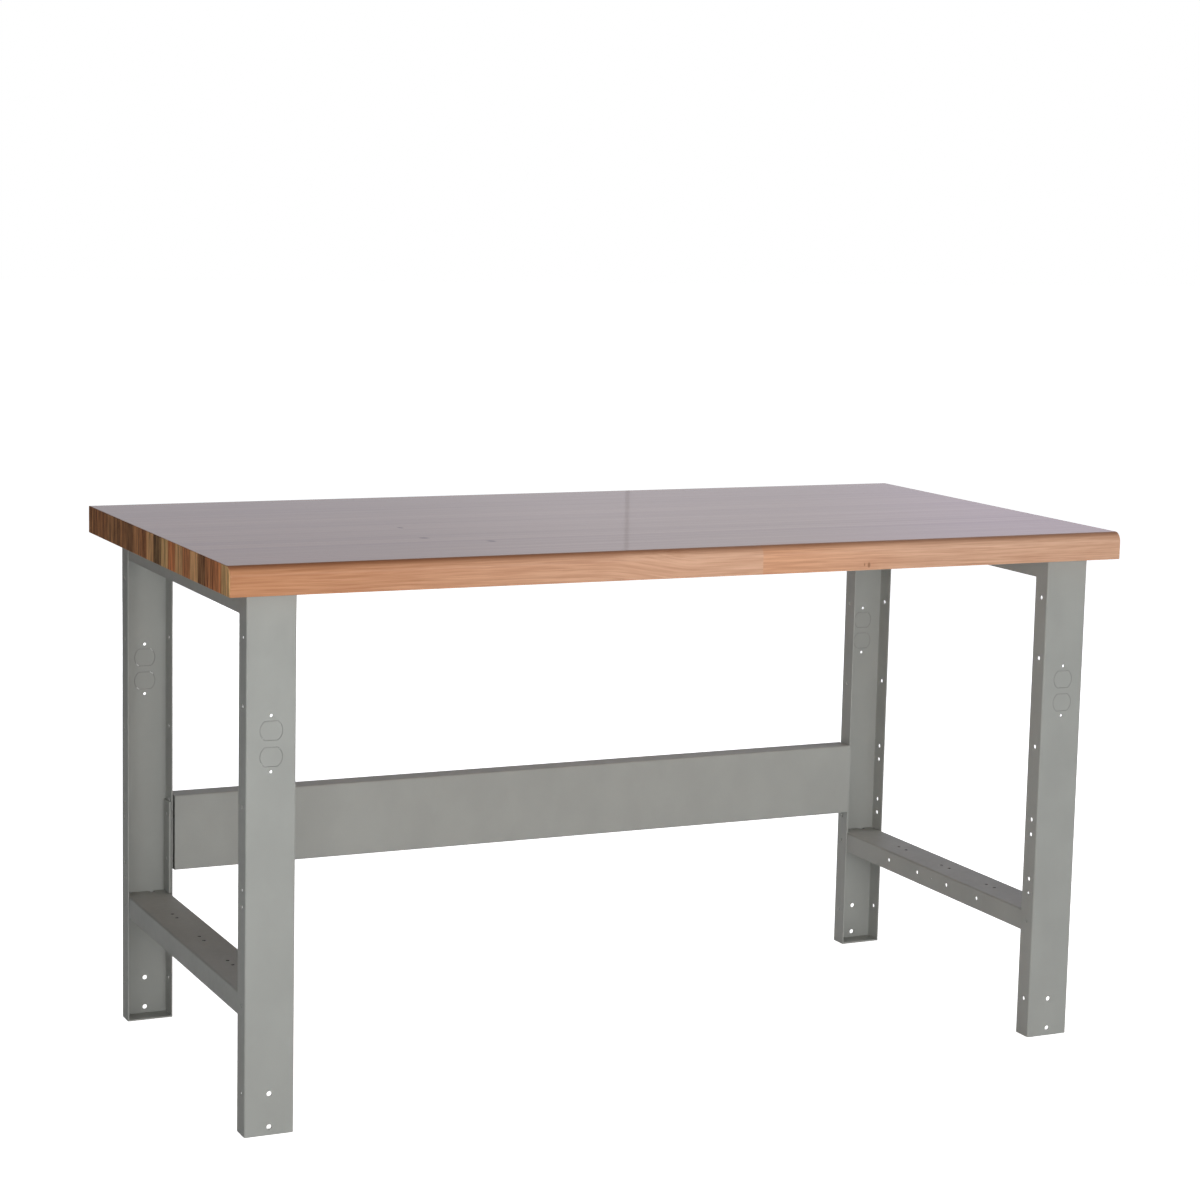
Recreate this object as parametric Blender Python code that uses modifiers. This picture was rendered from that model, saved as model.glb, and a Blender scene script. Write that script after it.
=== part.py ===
"""Workbench: a laminated hardwood top on two folded steel leg frames, tied at the back by a stringer.

Metres, +Z up, front towards -Y. The origin is on the floor, under the middle of the top.
"""

import math

import bmesh
import bpy
from mathutils import Matrix, Vector

# Overall sizes
BENCH_LENGTH = 1.524
BENCH_DEPTH = 0.762
BENCH_HEIGHT = 0.85725

# Gap left between pieces that touch on the real bench
SEAT_GAP = 0.0003

# Laminated top
TOP_THICKNESS = 0.04445
STAVE_COUNT = 20
NOSE_RADIUS = 0.015875
NOSE_SEGMENTS = 8
FRONT_JOINT_FROM_LEFT = 0.857

# Sheet steel
SHEET = 0.0019
INNER_BEND = 0.0011
BEND_SEGMENTS = 5
WELD_BITE = 0.0005

# Uprights, each a channel with its web facing out and a foot plate welded inside
UPRIGHT_WIDTH = 0.0762
UPRIGHT_DEPTH = 0.034925
SIDE_INSET = 0.0381
FRONT_INSET = 0.0381
REAR_INSET = 0.0635
FOOT_PLATE = 0.0024
FOOT_PLATE_DEPTHS = {"front": 0.021, "rear": UPRIGHT_DEPTH}

# Holes in the uprights, as depths below their top end
HOLE_RADIUS = 0.0037
FLANGE_HOLE_SETBACK = 0.0175
ACCESSORY_HOLE_DEPTHS = (0.0667, 0.1683, 0.3175, 0.4413)
UPPER_BOLT_DEPTH = 0.4667
LOWER_BOLT_DEPTH = 0.5429
SHELF_HOLE_DEPTH = 0.5683

# Holes near the floor, as heights above it
FOOT_HOLE_RADIUS = 0.004
ANCHOR_HEIGHT = 0.0127
UPPER_ANCHOR_HEIGHT = 0.0635

# Duplex receptacle knockouts in the uprights' webs
RECEPTACLE_DEPTH = 0.22225
RECEPTACLE_SCREW_SPACING = 0.0833
RECEPTACLE_SCREW_RADIUS = 0.0024
KNOCKOUT_SPACING = 0.0389
KNOCKOUT_RADIUS = 0.0173
KNOCKOUT_FLAT_HEIGHT = 0.0286
KNOCKOUT_TAB = 0.0024
KNOCKOUT_CUT_WIDTH = 0.0003
KNOCKOUT_SEGMENTS = 6

# Rails that join a front upright to a rear one, as channels that open downwards
RAIL_DEPTH = 0.0349
LOWER_RAIL_BELOW_LEG_TOP = 0.5998
RAIL_HOLE_DROP = 0.0159
WELD_HOLE_RADIUS = 0.003
RAIL_HOLE_RADIUS = 0.0036
RAIL_HOLE_PITCH = 0.0984
RAIL_HOLE_COUNT = 4
RAIL_HOLES_FROM_FRONT = 0.3262
RAIL_PILOT_RADIUS = 0.0018
RAIL_SLOT_RADIUS = 0.003
RAIL_SLOT_PAIR = 0.0254
RAIL_SLOT_PITCH = 0.1476
RAIL_SLOT_COUNT = 3
RAIL_SLOTS_FROM_FRONT = 0.338
RAIL_NOTCH_OFFSET = 0.010
RAIL_NOTCH_WIDTH = 0.008
RAIL_NOTCH_DEPTH = 0.010
RAIL_COPE_WIDTH = 0.004
RAIL_COPE_DEPTH = 0.015

# Screws that hold the top down on the upper rails
SCREW_ROWS = 4
SCREW_END_SETBACK = 0.0603
SCREW_RADIUS = 0.003175
SCREW_CLEARANCE = 0.0004
SCREW_BITE = 0.03175
SCREW_TIP_ROOM = 0.001
SCREW_HEAD_RADIUS = 0.0064
SCREW_HEAD_HEIGHT = 0.004

# Stringer, a channel that opens backwards between the rear uprights, with an end plate set in at each end
STRINGER_HEIGHT = 0.127
STRINGER_DEPTH = 0.0381
STRINGER_BOLT_RISE = 0.0159
STRINGER_STEP = 0.005
STRINGER_END_GAP = 0.0024
STRINGER_END_LIP = 0.0025

# Bolts and spacers that hold the stringer
BOLT_RADIUS = 0.003175
BOLT_HEAD_RADIUS = 0.0064
BOLT_HEAD_HEIGHT = 0.0044
BOLT_END_SETBACK = 0.0003
SPACER_RADIUS = 0.008

# Backing plates inside the rear uprights, tapped for the bolts
BACKING_THICKNESS = 0.0032
BACKING_WIDTH = 0.029
BACKING_TOP_MARGIN = 0.0232

# Facets
HOLE_SEGMENTS = 20
FASTENER_SEGMENTS = 16
HEX = 6

# Places worked out from the sizes above
TOP_UNDERSIDE = BENCH_HEIGHT - TOP_THICKNESS
LEG_TOP = TOP_UNDERSIDE - SEAT_GAP
LOWER_RAIL_TOP = LEG_TOP - LOWER_RAIL_BELOW_LEG_TOP
BEND_RADIUS = INNER_BEND + SHEET
FRONT_WEB_Y = FRONT_INSET - BENCH_DEPTH / 2
REAR_WEB_Y = BENCH_DEPTH / 2 - REAR_INSET
UPRIGHT_X = BENCH_LENGTH / 2 - SIDE_INSET - UPRIGHT_WIDTH / 2
INNER_FACE_X = UPRIGHT_X - UPRIGHT_WIDTH / 2
RAIL_WIDTH = UPRIGHT_WIDTH - 2 * (SHEET + SEAT_GAP)
RAIL_FRONT_Y = FRONT_WEB_Y + SHEET + INNER_BEND + SEAT_GAP
RAIL_REAR_Y = REAR_WEB_Y - SHEET - INNER_BEND - SEAT_GAP
BOLT_Y = REAR_WEB_Y - FLANGE_HOLE_SETBACK
BOLT_HEIGHTS = (LEG_TOP - UPPER_BOLT_DEPTH, LEG_TOP - LOWER_BOLT_DEPTH)
STRINGER_END_X = INNER_FACE_X - STRINGER_END_GAP
END_PLATE_X = STRINGER_END_X - STRINGER_END_LIP
SPACER_X = END_PLATE_X + SEAT_GAP
SPACER_LENGTH = INNER_FACE_X - SEAT_GAP - SPACER_X
BOLT_HEAD_X = END_PLATE_X - SHEET - SEAT_GAP
BACKING_X = INNER_FACE_X + SHEET + SEAT_GAP
SCREW_HEAD_TOP = LEG_TOP - SHEET - SEAT_GAP

# How far cutters run past the faces that they cut
CUT_OVERRUN = 0.002

SIDES = {"left": -1, "right": 1}
WEB_SIDES = ("bottom", "right", "top", "left")
FACE_FORWARD = (math.radians(90), 0, 0)
FACE_BACKWARD = (math.radians(90), 0, math.radians(180))


def clear_scene():
    """Remove whatever the file holds, so the model starts empty."""
    for obj in list(bpy.data.objects):
        bpy.data.objects.remove(obj, do_unlink=True)


def new_collection(name):
    """Make a collection in the scene."""
    collection = bpy.data.collections.new(name)
    bpy.context.scene.collection.children.link(collection)
    return collection


def principled(name, colour, roughness, metallic):
    """Make a plain material with a Principled BSDF."""
    material = bpy.data.materials.new(name)
    material.use_nodes = True
    shader = material.node_tree.nodes["Principled BSDF"]
    shader.inputs["Base Color"].default_value = (*colour, 1)
    shader.inputs["Roughness"].default_value = roughness
    shader.inputs["Metallic"].default_value = metallic
    return material


def add_object(name, bm, collection, location=(0, 0, 0), rotation=(0, 0, 0)):
    """Turn a bmesh into a placed object."""
    mesh = bpy.data.meshes.new(name)
    bm.to_mesh(mesh)
    bm.free()
    obj = bpy.data.objects.new(name, mesh)
    obj.location = location
    obj.rotation_euler = rotation
    collection.objects.link(obj)
    return obj


def add_part(name, bm, material, location=(0, 0, 0), rotation=(0, 0, 0)):
    """Add a piece of the bench, carried by the bench's empty."""
    part = add_object(name, bm, bench, location, rotation)
    part.parent = origin
    part.data.materials.append(materials[material])
    return part


def add_tool(part, name, bm, operation):
    """Cut a part with a hidden tool, or join the tool to it. The tool is placed as the part is."""
    tool = add_object(part.name + "_" + name, bm, tools, part.location, part.rotation_euler)
    tool.hide_render = True
    tool.display_type = "WIRE"
    boolean = part.modifiers.new(name, "BOOLEAN")
    boolean.operation = operation
    boolean.solver = "EXACT"
    boolean.object = tool
    return tool


def shade_round(part):
    """Shade the round walls smooth and keep the corners sharp."""
    part.data.shade_smooth()
    part.data.set_sharp_from_angle(angle=math.radians(35))


def add_box(bm, low, high):
    """Add a box between two corners."""
    low = Vector(low)
    high = Vector(high)
    size = high - low
    place = Matrix.Translation((low + high) / 2) @ Matrix.Diagonal((*size, 1))
    bmesh.ops.create_cube(bm, size=1, matrix=place)


def add_cylinder(bm, start, end, radius, segments):
    """Add a closed cylinder, or a prism where the segments are few, from one point to another."""
    axis = Vector(end) - Vector(start)
    turn = axis.to_track_quat("Z", "Y").to_matrix().to_4x4()
    place = Matrix.Translation((Vector(start) + Vector(end)) / 2) @ turn
    bmesh.ops.create_cone(bm, cap_ends=True, segments=segments, radius1=radius, radius2=radius,
                          depth=axis.length, matrix=place)


def extrude_edges(bm, edges, shift):
    """Extrude edges by a shift and return the new far edges."""
    result = bmesh.ops.extrude_edge_only(bm, edges=edges)
    moved = {item for item in result["geom"] if isinstance(item, bmesh.types.BMVert)}
    bmesh.ops.translate(bm, vec=shift, verts=list(moved))
    new_edges = [item for item in result["geom"] if isinstance(item, bmesh.types.BMEdge)]
    return [edge for edge in new_edges if set(edge.verts) <= moved]


def fold_flange(bm, edge, outward, depth):
    """Bend a flange down from one edge of a flat web: a round bend, then a straight leg."""
    edges = [edge]
    reached = Vector((0, 0, 0))
    for step in range(1, BEND_SEGMENTS + 1):
        angle = math.radians(90) * step / BEND_SEGMENTS
        along = outward * BEND_RADIUS * math.sin(angle)
        down = Vector((0, 0, -BEND_RADIUS * (1 - math.cos(angle))))
        edges = extrude_edges(bm, edges, along + down - reached)
        reached = along + down
    extrude_edges(bm, edges, Vector((0, 0, BEND_RADIUS - depth)))


def folded_channel(low, high, sides, depth):
    """Make an open sheet: a web between two corners in the XY plane, with two flanges folded to -Z.

    The corners are those of the folded piece. The sides are bottom and top, or left and right.
    """
    inset = {side: BEND_RADIUS if side in sides else 0 for side in WEB_SIDES}
    left = low[0] + inset["left"]
    right = high[0] - inset["right"]
    bottom = low[1] + inset["bottom"]
    top = high[1] - inset["top"]
    bm = bmesh.new()
    corners = ((left, bottom, 0), (right, bottom, 0), (right, top, 0), (left, top, 0))
    verts = [bm.verts.new(corner) for corner in corners]
    bm.faces.new(verts)
    for index, side in enumerate(WEB_SIDES):
        if side in sides:
            first = verts[index]
            second = verts[(index + 1) % 4]
            outward = (second.co - first.co).normalized().cross(Vector((0, 0, 1)))
            fold_flange(bm, bm.edges.get((first, second)), outward, depth)
    return bm


def thicken(part):
    """Give an open sheet its thickness, inwards from the outer faces."""
    solidify = part.modifiers.new("sheet", "SOLIDIFY")
    solidify.thickness = SHEET
    solidify.offset = -1
    solidify.use_even_offset = True


def knockout_half(bm, centre, turned):
    """Add one of the two cuts round a knockout, as an open strip between the knockout's two tabs."""
    corner = math.asin(KNOCKOUT_FLAT_HEIGHT / 2 / KNOCKOUT_RADIUS)
    tab = KNOCKOUT_TAB / KNOCKOUT_RADIUS
    arc_start = math.pi - corner
    arc_end = math.pi + corner - tab
    arc_step = (arc_end - arc_start) / KNOCKOUT_SEGMENTS
    flat_start = corner + tab
    flat_reach = KNOCKOUT_FLAT_HEIGHT / 2 / math.sin(flat_start)
    outline = [(flat_start, flat_reach)]
    outline += [(arc_start + arc_step * step, KNOCKOUT_RADIUS) for step in range(KNOCKOUT_SEGMENTS + 1)]
    half_turn = math.pi if turned else 0
    verts = []
    for angle, reach in outline:
        turn = angle + half_turn
        verts.append(bm.verts.new(Vector((math.cos(turn), math.sin(turn), 0)) * reach + centre))
    edges = [bm.edges.new(pair) for pair in zip(verts, verts[1:])]
    extrude_edges(bm, edges, Vector((0, 0, -SHEET - 2 * CUT_OVERRUN)))


def cut_knockouts(upright):
    """Cut the outlines of the two receptacle knockouts, which hang on small tabs."""
    bm = bmesh.new()
    for side in (-1, 1):
        height = LEG_TOP - RECEPTACLE_DEPTH + side * KNOCKOUT_SPACING / 2
        centre = Vector((0, height, CUT_OVERRUN))
        for turned in (False, True):
            knockout_half(bm, centre, turned)
    tool = add_tool(upright, "knockouts", bm, "DIFFERENCE")
    solidify = tool.modifiers.new("cut_width", "SOLIDIFY")
    solidify.thickness = KNOCKOUT_CUT_WIDTH
    solidify.offset = 0
    solidify.use_even_offset = True


def web_hole(bm, height, radius):
    """Add a drill through an upright's web, on its middle line."""
    add_cylinder(bm, (0, height, CUT_OVERRUN), (0, height, -SHEET - CUT_OVERRUN), radius, HOLE_SEGMENTS)


def flange_hole(bm, side, height, radius):
    """Add a drill through one of an upright's flanges."""
    outer = side * (UPRIGHT_WIDTH / 2 + CUT_OVERRUN)
    inner = side * (UPRIGHT_WIDTH / 2 - SHEET - CUT_OVERRUN)
    add_cylinder(bm, (outer, height, -FLANGE_HOLE_SETBACK), (inner, height, -FLANGE_HOLE_SETBACK),
                 radius, HOLE_SEGMENTS)


def make_upright(end, side_name):
    """Make one upright: a channel with its web facing out, a foot plate and the punched holes."""
    side = SIDES[side_name]
    is_front = end == "front"
    rotation = FACE_FORWARD if is_front else FACE_BACKWARD
    location = (side * UPRIGHT_X, FRONT_WEB_Y if is_front else REAR_WEB_Y, 0)
    half = UPRIGHT_WIDTH / 2
    sheet = folded_channel((-half, 0), (half, LEG_TOP), ("left", "right"), UPRIGHT_DEPTH)
    upright = add_part("upright_" + end + "_" + side_name, sheet, "paint", location, rotation)
    thicken(upright)

    foot = bmesh.new()
    foot_half = half - SHEET + WELD_BITE
    add_box(foot, (-foot_half, 0, -FOOT_PLATE_DEPTHS[end]), (foot_half, FOOT_PLATE, WELD_BITE - SHEET))
    add_tool(upright, "foot_plate", foot, "UNION")

    drills = bmesh.new()
    outer_side = side if is_front else -side
    for flange_side in (-1, 1):
        depths = list(ACCESSORY_HOLE_DEPTHS) + [UPPER_BOLT_DEPTH]
        if not (is_front and flange_side == outer_side):
            depths += [LOWER_BOLT_DEPTH, SHELF_HOLE_DEPTH]
        for depth in depths:
            flange_hole(drills, flange_side, LEG_TOP - depth, HOLE_RADIUS)
        flange_hole(drills, flange_side, UPPER_ANCHOR_HEIGHT, HOLE_RADIUS)
        flange_hole(drills, flange_side, LOWER_RAIL_TOP - RAIL_HOLE_DROP, WELD_HOLE_RADIUS)
    web_hole(drills, ANCHOR_HEIGHT, FOOT_HOLE_RADIUS)
    web_hole(drills, UPPER_ANCHOR_HEIGHT, FOOT_HOLE_RADIUS)
    for sign in (-1, 1):
        web_hole(drills, LEG_TOP - RECEPTACLE_DEPTH + sign * RECEPTACLE_SCREW_SPACING / 2,
                 RECEPTACLE_SCREW_RADIUS)
    add_tool(upright, "holes", drills, "DIFFERENCE")
    cut_knockouts(upright)
    return upright


def spread(count, pitch):
    """Offsets of evenly spaced places about their middle."""
    return [(index - (count - 1) / 2) * pitch for index in range(count)]


def screw_places():
    """Distances along Y of the screws that hold the top."""
    first = FRONT_WEB_Y + UPRIGHT_DEPTH + SCREW_END_SETBACK
    last = REAR_WEB_Y - UPRIGHT_DEPTH - SCREW_END_SETBACK
    return [first + (last - first) * row / (SCREW_ROWS - 1) for row in range(SCREW_ROWS)]


def make_rail(name, side_name, top):
    """Make one rail, a channel that opens downwards, fitted between two uprights."""
    half = RAIL_WIDTH / 2
    sheet = folded_channel((-half, RAIL_FRONT_Y), (half, RAIL_REAR_Y), ("left", "right"), RAIL_DEPTH)
    rail = add_part(name + "_" + side_name, sheet, "paint", (SIDES[side_name] * UPRIGHT_X, 0, top))
    thicken(rail)
    return rail


def top_hole(bm, x, y, radius):
    """Add a drill through a rail's top."""
    add_cylinder(bm, (x, y, CUT_OVERRUN), (x, y, -SHEET - CUT_OVERRUN), radius, HOLE_SEGMENTS)


def top_notch(bm, x, width, depth):
    """Add a square cutter through a rail's top at its rear end."""
    add_box(bm, (x - width / 2, RAIL_REAR_Y - depth, -SHEET - CUT_OVERRUN),
            (x + width / 2, RAIL_REAR_Y + CUT_OVERRUN, CUT_OVERRUN))


def make_upper_rail(side_name):
    """Make an upper rail, with its clearance holes for the top's screws."""
    rail = make_rail("upper_rail", side_name, LEG_TOP)
    drills = bmesh.new()
    for place in screw_places():
        top_hole(drills, 0, place, SCREW_RADIUS + SCREW_CLEARANCE)
    add_tool(rail, "holes", drills, "DIFFERENCE")


def make_lower_rail(side_name):
    """Make a lower rail, with holes in its inner side and its top, a drain notch and coped rear corners."""
    rail = make_rail("lower_rail", side_name, LOWER_RAIL_TOP)
    drills = bmesh.new()
    inward = -SIDES[side_name]
    outer = inward * (RAIL_WIDTH / 2 + CUT_OVERRUN)
    inner = inward * (RAIL_WIDTH / 2 - SHEET - CUT_OVERRUN)
    middle = FRONT_WEB_Y + RAIL_HOLES_FROM_FRONT
    for offset in spread(RAIL_HOLE_COUNT, RAIL_HOLE_PITCH):
        place = (middle + offset, -RAIL_HOLE_DROP)
        add_cylinder(drills, (outer, *place), (inner, *place), RAIL_HOLE_RADIUS, HOLE_SEGMENTS)
    add_cylinder(drills, (outer, middle, -RAIL_HOLE_DROP), (inner, middle, -RAIL_HOLE_DROP),
                 RAIL_PILOT_RADIUS, HOLE_SEGMENTS)
    for offset in spread(RAIL_SLOT_COUNT, RAIL_SLOT_PITCH):
        for pair_offset in spread(2, RAIL_SLOT_PAIR):
            top_hole(drills, 0, FRONT_WEB_Y + RAIL_SLOTS_FROM_FRONT + offset + pair_offset, RAIL_SLOT_RADIUS)
    top_notch(drills, RAIL_NOTCH_OFFSET, RAIL_NOTCH_WIDTH, RAIL_NOTCH_DEPTH)
    for side in SIDES.values():
        top_notch(drills, side * RAIL_WIDTH / 2, 2 * RAIL_COPE_WIDTH, RAIL_COPE_DEPTH)
    add_tool(rail, "holes", drills, "DIFFERENCE")


def make_stringer():
    """Make the stringer: a web with flanges folded back above and below, and an end plate near each end."""
    bottom = BOLT_HEIGHTS[-1] - STRINGER_BOLT_RISE
    front = REAR_WEB_Y - UPRIGHT_DEPTH - STRINGER_STEP
    sheet = folded_channel((-STRINGER_END_X, 0), (STRINGER_END_X, STRINGER_HEIGHT), ("bottom", "top"),
                           STRINGER_DEPTH)
    stringer = add_part("stringer", sheet, "paint", (0, front, bottom), FACE_FORWARD)
    thicken(stringer)
    plates = bmesh.new()
    drills = bmesh.new()
    low_edge = SHEET - WELD_BITE
    for side in SIDES.values():
        ends = sorted((side * END_PLATE_X, side * (END_PLATE_X - SHEET)))
        add_box(plates, (ends[0], low_edge, WELD_BITE - STRINGER_DEPTH),
                (ends[1], STRINGER_HEIGHT - low_edge, -low_edge))
        for height in BOLT_HEIGHTS:
            place = (height - bottom, front - BOLT_Y)
            add_cylinder(drills, (side * (END_PLATE_X + CUT_OVERRUN), *place),
                         (side * (END_PLATE_X - SHEET - CUT_OVERRUN), *place), HOLE_RADIUS, HOLE_SEGMENTS)
    add_tool(stringer, "end_plates", plates, "UNION")
    add_tool(stringer, "holes", drills, "DIFFERENCE")


def make_backing_plate(side_name):
    """Make the tapped plate that takes the stringer's bolts. It stands on the lower rail."""
    side = SIDES[side_name]
    low_z = LOWER_RAIL_TOP + SEAT_GAP
    high_z = BOLT_HEIGHTS[0] + BACKING_TOP_MARGIN
    place = Vector((side * BACKING_X, BOLT_Y, low_z))
    plate = bmesh.new()
    add_box(plate, (0, -BACKING_WIDTH / 2, 0), (side * BACKING_THICKNESS, BACKING_WIDTH / 2, high_z - low_z))
    bmesh.ops.recalc_face_normals(plate, faces=plate.faces)
    part = add_part("backing_plate_" + side_name, plate, "paint", place)
    drills = bmesh.new()
    for height in BOLT_HEIGHTS:
        add_cylinder(drills, (-side * CUT_OVERRUN, 0, height - low_z),
                     (side * (BACKING_THICKNESS + CUT_OVERRUN), 0, height - low_z),
                     BOLT_RADIUS + SEAT_GAP, FASTENER_SEGMENTS)
    add_tool(part, "holes", drills, "DIFFERENCE")


def make_screw(name, location, rotation, radius, length, head_radius, head_height):
    """Make a hexagon-headed screw: its shank runs to +Z from the head's bearing face at its origin."""
    shank = bmesh.new()
    add_cylinder(shank, (0, 0, -head_height / 2), (0, 0, length), radius, FASTENER_SEGMENTS)
    screw = add_part(name, shank, "zinc", location, rotation)
    head = bmesh.new()
    add_cylinder(head, (0, 0, -head_height), (0, 0, 0), head_radius, HEX)
    add_tool(screw, "head", head, "UNION")
    shade_round(screw)


def make_spacer(name, location, rotation):
    """Make a spacer on a bolt's shank, from its origin to +Z."""
    disc = bmesh.new()
    add_cylinder(disc, (0, 0, 0), (0, 0, SPACER_LENGTH), SPACER_RADIUS, HOLE_SEGMENTS)
    spacer = add_part(name, disc, "zinc", location, rotation)
    bore = bmesh.new()
    add_cylinder(bore, (0, 0, -CUT_OVERRUN), (0, 0, SPACER_LENGTH + CUT_OVERRUN), BOLT_RADIUS + SEAT_GAP,
                 FASTENER_SEGMENTS)
    add_tool(spacer, "bore", bore, "DIFFERENCE")


def make_stringer_fasteners():
    """Make each bolt through end plate, spacer, upright and backing plate, with its spacer."""
    shank = BACKING_X + BACKING_THICKNESS - BOLT_END_SETBACK - BOLT_HEAD_X
    for side_name, side in SIDES.items():
        outwards = (0, side * math.radians(90), 0)
        for level, height in zip(("upper", "lower"), BOLT_HEIGHTS):
            ending = "_" + side_name + "_" + level
            make_screw("stringer_bolt" + ending, (side * BOLT_HEAD_X, BOLT_Y, height), outwards,
                       BOLT_RADIUS, shank, BOLT_HEAD_RADIUS, BOLT_HEAD_HEIGHT)
            make_spacer("stringer_spacer" + ending, (side * SPACER_X, BOLT_Y, height), outwards)


def make_top_screws(side_name):
    """Make the screws that come up through an upper rail into the top."""
    length = TOP_UNDERSIDE + SCREW_BITE - SCREW_HEAD_TOP
    for row, place in enumerate(screw_places(), start=1):
        location = (SIDES[side_name] * UPRIGHT_X, place, SCREW_HEAD_TOP)
        make_screw("top_screw_%s_%d" % (side_name, row), location, (0, 0, 0),
                   SCREW_RADIUS, length, SCREW_HEAD_RADIUS, SCREW_HEAD_HEIGHT)


def bore_pilots(board, low_y, high_y):
    """Bore the pilot holes for the top's screws where they run into a board."""
    reach = SCREW_RADIUS + SEAT_GAP
    rows = [place for place in screw_places() if low_y - reach < place < high_y + reach]
    if not rows:
        return
    drills = bmesh.new()
    shift = -Vector(board.location)
    for side in SIDES.values():
        for place in rows:
            low = Vector((side * UPRIGHT_X, place, TOP_UNDERSIDE - CUT_OVERRUN))
            high = Vector((side * UPRIGHT_X, place, TOP_UNDERSIDE + SCREW_BITE + SCREW_TIP_ROOM))
            add_cylinder(drills, low + shift, high + shift, reach, FASTENER_SEGMENTS)
    add_tool(board, "pilots", drills, "DIFFERENCE")


def make_stave(index):
    """Make one full-length stave. Stave 1 is behind the front board, the last is at the back."""
    pitch = BENCH_DEPTH / STAVE_COUNT
    low_y = -BENCH_DEPTH / 2 + index * pitch + SEAT_GAP / 2
    high_y = -BENCH_DEPTH / 2 + (index + 1) * pitch - SEAT_GAP / 2
    if index == STAVE_COUNT - 1:
        high_y = BENCH_DEPTH / 2
    half = BENCH_LENGTH / 2
    middle_y = (low_y + high_y) / 2
    bm = bmesh.new()
    add_box(bm, (-half, low_y - middle_y, 0), (half, high_y - middle_y, TOP_THICKNESS))
    stave = add_part("stave_%02d" % (index + 1), bm, "wood", (0, middle_y, TOP_UNDERSIDE))
    bore_pilots(stave, low_y, high_y)


def make_front_board(name, low_x, high_x):
    """Make a board of the front stave, with the rounded front edge."""
    width = BENCH_DEPTH / STAVE_COUNT - SEAT_GAP / 2
    half = (high_x - low_x) / 2
    bm = bmesh.new()
    add_box(bm, (-half, 0, 0), (half, width, TOP_THICKNESS))
    nose = [edge for edge in bm.edges
            if all(vert.co.y < SEAT_GAP and vert.co.z > TOP_THICKNESS - SEAT_GAP for vert in edge.verts)]
    bmesh.ops.bevel(bm, geom=nose, offset=NOSE_RADIUS, segments=NOSE_SEGMENTS, profile=0.5, affect="EDGES")
    board = add_part(name, bm, "wood", ((low_x + high_x) / 2, -BENCH_DEPTH / 2, TOP_UNDERSIDE))
    shade_round(board)


def make_top():
    """Make the laminated top: a front stave of two boards and the full-length staves behind it."""
    joint = FRONT_JOINT_FROM_LEFT - BENCH_LENGTH / 2
    make_front_board("front_board_left", -BENCH_LENGTH / 2, joint - SEAT_GAP / 2)
    make_front_board("front_board_right", joint + SEAT_GAP / 2, BENCH_LENGTH / 2)
    for index in range(1, STAVE_COUNT):
        make_stave(index)


def make_leg_frames():
    """Make the two leg frames, each of two uprights and two rails, with the top's screws."""
    for side_name in SIDES:
        for end in ("front", "rear"):
            make_upright(end, side_name)
        make_upper_rail(side_name)
        make_lower_rail(side_name)
        make_top_screws(side_name)


def make_stringer_set():
    """Make the stringer and what bolts it to the rear uprights."""
    make_stringer()
    for side_name in SIDES:
        make_backing_plate(side_name)
    make_stringer_fasteners()


clear_scene()
bench = new_collection("workbench")
tools = new_collection("workbench_tools")
origin = bpy.data.objects.new("bench_origin", None)
bench.objects.link(origin)
materials = {
    "wood": principled("laminated_hardwood", (0.58, 0.36, 0.23), 0.35, 0.0),
    "paint": principled("grey_powder_coat", (0.36, 0.37, 0.34), 0.5, 0.0),
    "zinc": principled("zinc_plate", (0.62, 0.63, 0.64), 0.35, 1.0),
}
make_top()
make_leg_frames()
make_stringer_set()
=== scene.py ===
"""The workbench's looks: its finishes, the boards of its top, the light and the camera.

Metres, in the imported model's frame: +Z up, the front towards -Y, the floor at zero.
"""

import math
import random
from collections import namedtuple
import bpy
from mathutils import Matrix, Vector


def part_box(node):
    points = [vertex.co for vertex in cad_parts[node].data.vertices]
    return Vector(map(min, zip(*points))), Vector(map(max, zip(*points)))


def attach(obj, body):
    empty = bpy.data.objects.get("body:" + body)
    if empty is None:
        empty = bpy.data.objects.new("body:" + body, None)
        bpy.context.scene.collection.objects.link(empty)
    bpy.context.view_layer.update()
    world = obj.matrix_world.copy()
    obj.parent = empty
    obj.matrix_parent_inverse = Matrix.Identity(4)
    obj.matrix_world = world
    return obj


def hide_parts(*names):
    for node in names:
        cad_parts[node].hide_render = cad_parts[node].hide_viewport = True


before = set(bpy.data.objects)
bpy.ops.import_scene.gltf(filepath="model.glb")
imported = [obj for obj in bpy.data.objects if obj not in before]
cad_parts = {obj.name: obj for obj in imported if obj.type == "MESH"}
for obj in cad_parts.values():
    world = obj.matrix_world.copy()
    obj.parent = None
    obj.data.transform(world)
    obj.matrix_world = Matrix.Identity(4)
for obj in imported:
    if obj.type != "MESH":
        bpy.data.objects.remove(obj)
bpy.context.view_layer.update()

from types import SimpleNamespace

import bmesh
import bpy
from mathutils import Vector

# Camera, at the photograph's viewing angle
CAMERA_PLACE = (-1.98233, -4.22064, 1.41914)
CAMERA_TURN_DEGREES = (81.827, -1.368, -25.553)
LENS_MM = 85.43
SENSOR_MM = 36
CAMERA_SHIFT = (-0.02616, -0.01307)

# Square soft lamps, which the gloss doesn't see: place, size in metres and power in watts
LAMP_AIM = (0.0, 0.0, 0.45)
LAMPS = {
    "key": ((-0.5, -5.0, 1.1), 1.5, 83),
    "side_key": ((-2.0, -4.8, 1.1), 1.2, 61),
    "left_near": ((-2.7, -2.3, 1.4), 1.0, 11),
    "overhead": ((0.0, 0.3, 3.2), 2.5, 12),
    "right_fill": ((4.2, -0.4, 1.5), 1.6, 79),
    "back_fill": ((0.6, 4.6, 1.5), 1.6, 36),
}

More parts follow.
